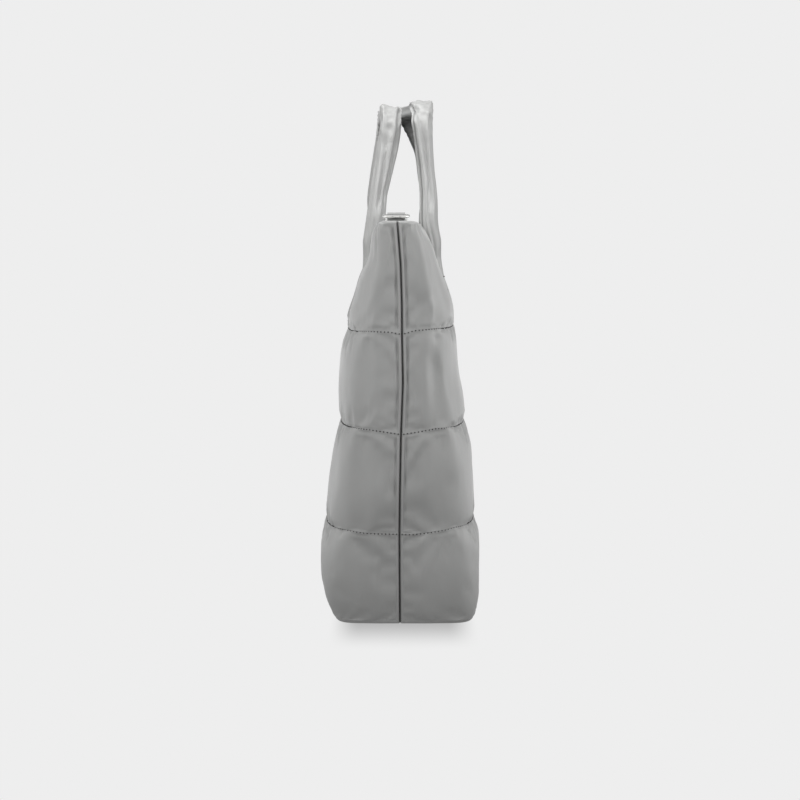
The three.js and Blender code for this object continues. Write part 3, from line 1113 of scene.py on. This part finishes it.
def at_ring_end(points, end):
    """Moves points that are drawn about the right bar's middle to one end of the mouth."""
    turned = points * np.array([end, end, 1])
    return turned + np.array([end * BAR_X, RING_Y, BAR_Z])


def ring_line():
    """Points along the middle of the wire: the bar, two small corners and the round side."""
    side = BAR_HALF + RING_CORNER
    corner = np.linspace(np.pi, 1.5 * np.pi, RING_CORNER_POINTS)
    bow = np.linspace(-np.pi / 2, np.pi / 2, RING_BOW_POINTS)
    line = [np.column_stack([np.zeros(2), [BAR_HALF, -BAR_HALF]])]
    line.append(np.column_stack([np.cos(corner), np.sin(corner)]) * RING_CORNER + [RING_CORNER, -BAR_HALF])
    bow_line = np.column_stack([np.cos(bow) * (RING_REACH - RING_CORNER), np.sin(bow) * side])
    line.append(bow_line + [RING_CORNER, 0])
    line.append(line[1][::-1] * [1, -1])
    path = np.vstack(line)
    run = travelled(path[None], 1)[0]
    even = interpolated(np.linspace(0, run[-1], RING_POINTS), run, path)
    return np.column_stack([even, np.zeros(RING_POINTS)])


def build_ring(end, material):
    line = ring_line()
    along = unit(np.roll(line[:-1], -1, axis=0) - np.roll(line[:-1], 1, axis=0))
    along = np.vstack([along, along[:1]])
    up = np.array([0.0, 0.0, 1.0])
    out = np.cross(along, up)
    angles = np.linspace(0, 2 * np.pi, WIRE_SIDES + 1)[None, :, None]
    wire = line[:, None] + WIRE_RADIUS * (out[:, None] * np.cos(angles) + up * np.sin(angles))
    level, drop = math.cos(RING_TILT), math.sin(RING_TILT)
    tilt = np.array([[level, 0, drop], [0, 1, 0], [-drop, 0, level]])
    word = END_WORDS[end]
    ring = grid_piece(f"{word}_plated_ring", at_ring_end(wire @ tilt.T, end)[:, ::-1])
    close_seams(ring)
    dress(ring, material, f"ring_{word}")
    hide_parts(f"d_ring_{word}")
    return ring


def tab_line():
    """Middle of the tab's cloth in the XZ plane: up one ply, round the bar and down the other."""
    loop = WIRE_RADIUS + PIECE_GAP + TAB_CLOTH / 2
    ply = TAB_CLOTH / 2
    low = math.acos(loop / math.hypot(ply, TAB_NECK)) - math.atan2(TAB_NECK, ply)
    turn = np.linspace(low, np.pi - low, TAB_LOOP_POINTS)
    bend = np.column_stack([np.cos(turn), np.sin(turn)]) * loop
    down = np.linspace(-TAB_DEPTH, -TAB_NECK, TAB_PLY_POINTS)
    straight = np.column_stack([np.full_like(down, ply), down])
    shares = np.linspace(0, 1, TAB_SLANT_STEPS, endpoint=False)[1:, None]
    slant = between(straight[-1], bend[0], shares)
    ply_line = np.vstack([straight, slant])
    return np.vstack([ply_line, bend, ply_line[::-1] * [-1, 1]])


def build_tab(end, material):
    line = tab_line()
    across = np.linspace(-TAB_HALF_WIDTH, TAB_HALF_WIDTH, TAB_COLUMNS)
    strip = np.stack(np.broadcast_arrays(line[:, :1], across, line[:, 1:]), axis=-1)
    word = END_WORDS[end]
    tab = grid_piece(f"{word}_ring_tab", at_ring_end(strip, end))
    cloth = tab.modifiers.new("Cloth", "SOLIDIFY")
    cloth.thickness = TAB_CLOTH - TAB_SHRINK
    cloth.offset = 0
    edge = tab.modifiers.new("Soft edge", "BEVEL")
    edge.width = TAB_EDGE
    edge.segments = TAB_EDGE_SEGMENTS
    edge.angle_limit = TAB_EDGE_ANGLE
    apply_all(tab)
    bpy.ops.object.shade_smooth()
    dress(tab, material, "bag")
    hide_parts(f"ring_tab_{word}")
    return tab


# Stitches


def stitch_shape(sizes):
    """Vertices and faces of one stitch along X, arched so that both ends dive into the cloth."""
    bpy.ops.object.select_all(action="DESELECT")
    bpy.ops.mesh.primitive_uv_sphere_add(segments=BEAD_SEGMENTS, ring_count=BEAD_RINGS, radius=1)
    bead = bpy.context.object
    ball = read_points(bead, (-1, 3))
    faces = [list(face.vertices) for face in bead.data.polygons]
    bpy.data.objects.remove(bead)
    x = ball[:, 2] * sizes.stitch_length / 2
    y = ball[:, 0] * sizes.thread_radius
    z = (ball[:, 1] - STITCH_DIVE * ball[:, 2] ** 2) * sizes.thread_radius
    return np.column_stack([x, y, z]), faces


def stitch_frames(line, normals, pitch):
    """Place, direction and facing of each stitch along a line of points."""
    run = travelled(line[None], 1)[0]
    count = max(int(run[-1] / pitch), 1)
    middles = (np.arange(count) + 0.5) * run[-1] / count
    along = unit(interpolated(middles, run, np.gradient(line, run, axis=0)))
    facing = interpolated(middles, run, normals)
    facing = unit(facing - along * np.sum(facing * along, axis=1, keepdims=True))
    return interpolated(middles, run, line), along, facing


def stitch_run(name, runs, sizes, material):
    """One joined mesh with a stitch at every frame of the given runs."""
    shape, faces = stitch_shape(sizes)
    points = []
    for line, normals in runs:
        place, along, facing = stitch_frames(line, normals, sizes.stitch_pitch)
        beside = np.cross(facing, along)
        for axes in zip(place, along, beside, facing):
            points.append(axes[0] + shape @ np.array(axes[1:]))
    joined = [[index + k * len(shape) for index in face] for k in range(len(points)) for face in faces]
    mesh = bpy.data.meshes.new(name)
    mesh.from_pydata(np.vstack(points).tolist(), [], joined)
    stitches = bpy.data.objects.new(name, mesh)
    bpy.context.scene.collection.objects.link(stitches)
    bpy.ops.object.select_all(action="DESELECT")
    stitches.select_set(True)
    bpy.context.view_layer.objects.active = stitches
    bpy.ops.object.shade_smooth()
    return dress(stitches, material, "bag")


def quilt_runs(side, sizes):
    """Lines of points and normals along the three quilting lines of a panel, on the finished cloth."""
    cloth = panel_cloth(side, sizes)
    facing = panel_facing(side, cloth.outer[:, LIP_COLUMNS:-LIP_COLUMNS])
    surface = finished(side, cloth, facing, sizes)[:, ROLL_START:-ROLL_START]
    facing = facing[:, ROLL_START:-ROLL_START]
    rows = [line * ROWS_PER_TIER for line in range(1, len(TIERS))]
    return [(surface[row] + facing[row] * STITCH_LIFT * sizes.thread_radius, facing[row]) for row in rows]


def end_runs(side):
    """A stitched box on each sewn end of a handle."""
    handle = handle_frame(side)
    runs = []
    for order in (1, -1):
        run = travelled(handle.centres[None, ::order], 1)[0]
        for start, end in zip(END_BOX[:-1], END_BOX[1:]):
            along, beside = np.linspace(start, end, END_BOX_STEPS).T
            rows = [interpolated(along, run, values[::order]) for values in handle]
            centres, away, outward, half_across, half_thick, _ = rows
            beside = beside[:, None]
            bulge = np.sqrt(np.maximum(1 - (beside / half_across) ** 2, END_BULGE_LEAST)) * half_thick
            runs.append((centres + away * bulge + outward * beside, away))
    return runs


# Materials


def add_node(tree, kind, **inputs):
    """A shader node with values or links for its named inputs."""
    made = tree.nodes.new(kind)
    for name, value in inputs.items():
        socket = made.inputs[name.replace("_", " ")]
        if isinstance(value, bpy.types.NodeSocket):
            tree.links.new(value, socket)
        else:
            socket.default_value = value
    return made


def blank_material(name):
    material = bpy.data.materials.new(name)
    material.use_nodes = True
    return material, material.node_tree, material.node_tree.nodes["Principled BSDF"]


def mixed_colour(tree, share, dark, light):
    mix = tree.nodes.new("ShaderNodeMix")
    mix.data_type = "RGBA"
    colours = [socket for socket in mix.inputs if socket.type == "RGBA"]
    tree.links.new(share, mix.inputs["Factor"])
    colours[0].default_value = (*dark, 1)
    colours[1].default_value = (*light, 1)
    return next(socket for socket in mix.outputs if socket.type == "RGBA")


def spread_range(tree, value, low, high):
    spread = add_node(tree, "ShaderNodeMapRange", Value=value, To_Min=low, To_Max=high)
    return spread.outputs["Result"]


def worked_out(tree, operation, one, two=0.0):
    """Result of a sum on one or two numbers or sockets."""
    made = tree.nodes.new("ShaderNodeMath")
    made.operation = operation
    for socket, value in zip(made.inputs, (one, two)):
        if isinstance(value, bpy.types.NodeSocket):
            tree.links.new(value, socket)
        else:
            socket.default_value = value
    return made.outputs["Value"]


def size_along(tree, place, axis, middle=0.0):
    """How far a place or direction is from a middle along one axis, either way."""
    parts = add_node(tree, "ShaderNodeSeparateXYZ", Vector=place)
    return worked_out(tree, "ABSOLUTE", worked_out(tree, "SUBTRACT", parts.outputs[axis], middle))


def faded(tree, value, span, start, end):
    """A value that goes softly from its start to its end over a span of another."""
    fade = add_node(tree, "ShaderNodeMapRange", Value=value, To_Min=start, To_Max=end)
    fade.inputs["From Min"].default_value, fade.inputs["From Max"].default_value = span
    fade.interpolation_type = "SMOOTHSTEP"
    return fade.outputs["Result"]


def satin_material(colours):
    """Grey satin: a fine weave, a slightly cloudy colour and soft crumples under the gloss."""
    material, tree, shader = blank_material("grey_satin")
    coordinates = tree.nodes.new("ShaderNodeTexCoord")
    place = coordinates.outputs["Object"]
    cloud = add_node(tree, "ShaderNodeTexNoise", Vector=place, **CLOUDS)
    shade = spread_range(tree, cloud.outputs["Fac"], *SATIN_SHADE)
    colour = mixed_colour(tree, shade, colours.satin_dark, colours.satin_light)
    tree.links.new(colour, shader.inputs["Base Color"])
    gloss = add_node(tree, "ShaderNodeTexNoise", Vector=place, **GLOSS)
    tree.links.new(spread_range(tree, gloss.outputs["Fac"], *SATIN_ROUGHNESS), shader.inputs["Roughness"])
    for name, value in SATIN.items():
        shader.inputs[name].default_value = value
    warp = add_node(tree, "ShaderNodeTexWave", Vector=coordinates.outputs["UV"], **WEAVE)
    weft = add_node(tree, "ShaderNodeTexWave", Vector=coordinates.outputs["UV"], **WEAVE)
    weft.bands_direction = "Y"
    weave = worked_out(tree, "MULTIPLY", warp.outputs["Fac"], weft.outputs["Fac"])
    crumple = add_node(tree, "ShaderNodeTexNoise", Vector=place, **CRUMPLES)
    weave_bump = add_node(tree, "ShaderNodeBump", Height=weave, **WEAVE_BUMP)
    cloth_bump = add_node(
        tree,
        "ShaderNodeBump",
        Height=crumple.outputs["Fac"],
        Normal=weave_bump.outputs["Normal"],
        **CRUMPLE_BUMP,
    )
    tree.links.new(cloth_bump.outputs["Normal"], shader.inputs["Normal"])
    return material


def painted_shade_thread_material(colours):
    """Twisted sewing thread, near black as painted shade for the shadowed needle holes along the stitching.
    """
    material, tree, shader = blank_material("grey_thread")
    place = tree.nodes.new("ShaderNodeTexCoord").outputs["Object"]
    twist = add_node(tree, "ShaderNodeTexWave", Vector=place, **TWIST)
    twist.bands_direction = "DIAGONAL"
    dark = [value * THREAD_SHADE for value in colours.thread]
    colour = mixed_colour(tree, twist.outputs["Fac"], dark, colours.thread)
    tree.links.new(colour, shader.inputs["Base Color"])
    tree.links.new(spread_range(tree, twist.outputs["Fac"], *THREAD_ROUGHNESS), shader.inputs["Roughness"])
    return material


def plated_material(colours):
    """Bright plating with faint rubbed marks."""
    material, tree, shader = blank_material("bright_plating")
    place = tree.nodes.new("ShaderNodeTexCoord").outputs["Object"]
    rub = add_node(tree, "ShaderNodeTexNoise", Vector=place, **RUBBED)
    dark = [value * PLATING_SHADE for value in colours.metal]
    colour = mixed_colour(tree, rub.outputs["Fac"], dark, colours.metal)
    tree.links.new(colour, shader.inputs["Base Color"])
    tree.links.new(spread_range(tree, rub.outputs["Fac"], *PLATING_ROUGHNESS), shader.inputs["Roughness"])
    shader.inputs["Metallic"].default_value = 1.0
    return material


def material_of(name, maker, colours):
    """The named material, made the first time that it is asked for."""
    return bpy.data.materials.get(name) or maker(colours)


def satin_of(settings):
    return material_of("grey_satin", satin_material, settings.colours)


def painted_shade_thread_of(settings):
    return material_of("grey_thread", painted_shade_thread_material, settings.colours)


def plating_of(settings):
    return material_of("bright_plating", plated_material, settings.colours)


# Stage


def build_camera(stage):
    data = bpy.data.cameras.new("camera")
    data.lens = stage.lens
    data.sensor_width = SENSOR_WIDTH
    camera = bpy.data.objects.new("camera", data)
    bpy.context.scene.collection.objects.link(camera)
    camera.location = (stage.eye_distance, 0, stage.eye_height)
    camera.rotation_euler = (math.pi / 2 - stage.eye_pitch, 0, math.pi / 2)
    bpy.context.scene.camera = camera


def lit_by(name, words):
    """A collection of the pieces that a lamp or the floor lights."""
    made = bpy.data.collections.new(f"{name}_lights")
    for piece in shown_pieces():
        if any(word in piece.name for word in words):
            made.objects.link(piece)
    return made


def build_lamp(name, lamp, power):
    """A soft rectangular lamp that looks at the middle of the bag and lights the pieces that it names."""
    data = bpy.data.lights.new(name, "AREA")
    data.shape = "RECTANGLE"
    data.size, data.size_y = lamp.size
    data.energy = power
    made = bpy.data.objects.new(name, data)
    bpy.context.scene.collection.objects.link(made)
    made.location = lamp.place
    aim = Vector((0, 0, TOP_EDGE.z / 2)) - Vector(lamp.place)
    made.rotation_euler = aim.to_track_quat("-Z", "Y").to_euler()
    made.visible_camera = False
    made.light_linking.receiver_collection = lit_by(name, lamp.lights)


def pick_for_camera(tree, seen, given):
    """One shader for what the camera sees and another for the light that reaches the bag."""
    path = tree.nodes.new("ShaderNodeLightPath")
    pick = tree.nodes.new("ShaderNodeMixShader")
    tree.links.new(path.outputs["Is Camera Ray"], pick.inputs["Fac"])
    tree.links.new(given.outputs[0], pick.inputs[1])
    tree.links.new(seen.outputs[0], pick.inputs[2])
    return pick.outputs[0]


def build_floor(colours, stage):
    """A pale floor that looks like the backdrop, with a soft shade at the foot of the bag."""
    bpy.ops.object.select_all(action="DESELECT")
    bpy.ops.mesh.primitive_plane_add(size=FLOOR_SIZE)
    floor = bpy.context.object
    floor.name = "pale_floor"
    material = bpy.data.materials.new("pale_floor")
    material.use_nodes = True
    tree = material.node_tree
    tree.nodes.clear()
    place = tree.nodes.new("ShaderNodeTexCoord").outputs["Object"]
    shade_x = faded(tree, size_along(tree, place, "X"), SHADE_X, 1, 0)
    shade_y = faded(tree, size_along(tree, place, "Y", SHADE_SHIFT), SHADE_Y, stage.floor_shade, 0)
    shade = worked_out(tree, "MULTIPLY", shade_x, shade_y)
    colour = mixed_colour(tree, shade, colours.ground, (0, 0, 0))
    away = tree.nodes.new("ShaderNodeVectorMath")
    away.operation = "LENGTH"
    tree.links.new(place, away.inputs[0])
    light = faded(tree, away.outputs["Value"], FLOOR_REACH, stage.foot_light, stage.floor_light)
    seen = add_node(tree, "ShaderNodeEmission", Color=colour, Strength=1.0)
    given = add_node(tree, "ShaderNodeEmission", Color=(1, 1, 1, 1), Strength=light)
    output = tree.nodes.new("ShaderNodeOutputMaterial")
    tree.links.new(pick_for_camera(tree, seen, given), output.inputs["Surface"])
    floor.data.materials.append(material)
    floor.light_linking.receiver_collection = lit_by(floor.name, FLOOR_WORDS)
    floor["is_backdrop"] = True


def build_world(colours, stage):
    """A room that looks like the backdrop and lights the bag from its bright sides."""
    world = bpy.data.worlds.new("pale_room")
    bpy.context.scene.world = world
    world.use_nodes = True
    tree = world.node_tree
    tree.nodes.clear()
    way = tree.nodes.new("ShaderNodeTexCoord").outputs["Generated"]
    light = faded(tree, size_along(tree, way, "X"), DARK_WAY, stage.fill_light, stage.front_fill)
    seen = add_node(tree, "ShaderNodeBackground", Color=(*colours.ground, 1), Strength=1.0)
    given = add_node(tree, "ShaderNodeBackground", Color=(1, 1, 1, 1), Strength=light)
    output = tree.nodes.new("ShaderNodeOutputWorld")
    tree.links.new(pick_for_camera(tree, seen, given), output.inputs["Surface"])


# Operators


class SHOPPERBAG_OT_add_panels(bpy.types.Operator):
    """Add the two quilted panels"""

    bl_idname = "shopper_bag.add_panels"
    bl_label = "Add quilted panels"

    def execute(self, context):
        settings = context.scene.shopper_bag
        for side in (FRONT, BACK):
            build_panel(side, settings.sizes, satin_of(settings))
        return {"FINISHED"}


class SHOPPERBAG_OT_add_base(bpy.types.Operator):
    """Add the flat pad of the base"""

    bl_idname = "shopper_bag.add_base"
    bl_label = "Add base pad"

    def execute(self, context):
        build_base(satin_of(context.scene.shopper_bag))
        return {"FINISHED"}


class SHOPPERBAG_OT_add_handles(bpy.types.Operator):
    """Add the two puffed handles"""

    bl_idname = "shopper_bag.add_handles"
    bl_label = "Add puffed handles"

    def execute(self, context):
        for side in (FRONT, BACK):
            build_handle(side, satin_of(context.scene.shopper_bag))
        return {"FINISHED"}


class SHOPPERBAG_OT_add_rings(bpy.types.Operator):
    """Add the D-rings and the cloth tabs that hold them"""

    bl_idname = "shopper_bag.add_rings"
    bl_label = "Add rings and tabs"

    def execute(self, context):
        settings = context.scene.shopper_bag
        for end in (RIGHT, LEFT):
            build_ring(end, plating_of(settings))
            build_tab(end, satin_of(settings))
        return {"FINISHED"}


class SHOPPERBAG_OT_add_stitches(bpy.types.Operator):
    """Add the stitches of the quilting and of the handle ends"""

    bl_idname = "shopper_bag.add_stitches"
    bl_label = "Add stitches"

    def execute(self, context):
        settings = context.scene.shopper_bag
        for side, word in SIDE_WORDS.items():
            thread = painted_shade_thread_of(settings)
            stitch_run(f"{word}_quilt_stitches", quilt_runs(side, settings.sizes), settings.sizes, thread)
            stitch_run(f"{word}_handle_stitches", end_runs(side), settings.sizes, thread)
        return {"FINISHED"}


class SHOPPERBAG_OT_add_stage(bpy.types.Operator):
    """Add the floor, the room, the lamps and the camera"""

    bl_idname = "shopper_bag.add_stage"
    bl_label = "Add stage"

    def execute(self, context):
        settings = context.scene.shopper_bag
        stage = settings.stage
        build_camera(stage)
        for name, lamp in LAMPS.items():
            build_lamp(name, lamp, getattr(stage, lamp.power))
        build_floor(settings.colours, stage)
        build_world(settings.colours, stage)
        context.scene.view_settings.view_transform = "Standard"
        return {"FINISHED"}


class SHOPPERBAG_PT_sidebar(bpy.types.Panel):
    """Buttons for the pieces of the bag"""

    bl_label = "Shopper Bag"
    bl_idname = "SHOPPERBAG_PT_sidebar"
    bl_space_type = "VIEW_3D"
    bl_region_type = "UI"
    bl_category = "Shopper Bag"

    def draw(self, context):
        for operator in OPERATORS:
            self.layout.operator(operator.bl_idname)
        settings = context.scene.shopper_bag
        for group in (settings.sizes, settings.colours, settings.stage):
            box = self.layout.box()
            for name in group.__annotations__:
                box.prop(group, name)


OPERATORS = (
    SHOPPERBAG_OT_add_panels,
    SHOPPERBAG_OT_add_base,
    SHOPPERBAG_OT_add_handles,
    SHOPPERBAG_OT_add_rings,
    SHOPPERBAG_OT_add_stitches,
    SHOPPERBAG_OT_add_stage,
)
CLASSES = (BagSizes, BagColours, BagStage, BagSettings, *OPERATORS, SHOPPERBAG_PT_sidebar)


def register():
    for each in CLASSES:
        bpy.utils.register_class(each)
    bpy.types.Scene.shopper_bag = bpy.props.PointerProperty(type=BagSettings)


def unregister():
    del bpy.types.Scene.shopper_bag
    for each in reversed(CLASSES):
        bpy.utils.unregister_class(each)


def main():
    register()
    bpy.ops.shopper_bag.add_panels()
    bpy.ops.shopper_bag.add_base()
    bpy.ops.shopper_bag.add_handles()
    bpy.ops.shopper_bag.add_rings()
    bpy.ops.shopper_bag.add_stitches()
    bpy.ops.shopper_bag.add_stage()
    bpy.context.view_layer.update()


if __name__ == "__main__":
    main()
